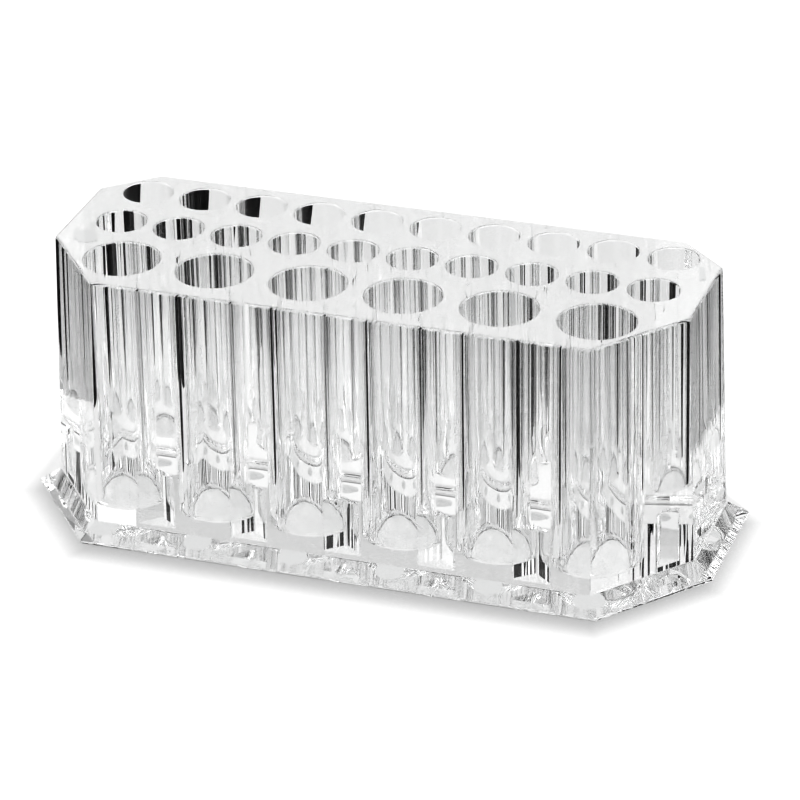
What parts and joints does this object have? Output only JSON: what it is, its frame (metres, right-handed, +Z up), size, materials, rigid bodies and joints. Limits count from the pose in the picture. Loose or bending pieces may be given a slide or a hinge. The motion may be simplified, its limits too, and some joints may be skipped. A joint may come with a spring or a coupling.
{
  "type": "vanity organizer",
  "caption": "Clear free-standing vanity organizer: a solid octagonal block with three rows of round blind wells for upright cosmetics, on a wider bevelled base.",
  "frame": {"origin": "middle of the bounding box at the surface the organizer stands on", "axes": "+X to the right along the rows, +Y to the back, +Z up out of the wells; the row of larger wells is at the front, -Y"},
  "size_m": [0.2488, 0.109, 0.0978],
  "materials": {
    "clear_block": "polished clear acrylic",
    "clear_base": "polished clear acrylic",
    "pad": "soft clear polyurethane"
  },
  "bodies": {
    "root": {"well_block": "clear_block", "base_plate": "clear_base", "pad_front_1": "pad", "pad_front_2": "pad", "pad_front_3": "pad", "pad_front_4": "pad", "pad_front_5": "pad", "pad_front_6": "pad", "pad_back_1": "pad", "pad_back_2": "pad", "pad_back_3": "pad", "pad_back_4": "pad", "pad_back_5": "pad", "pad_back_6": "pad"}
  },
  "joints": []
}
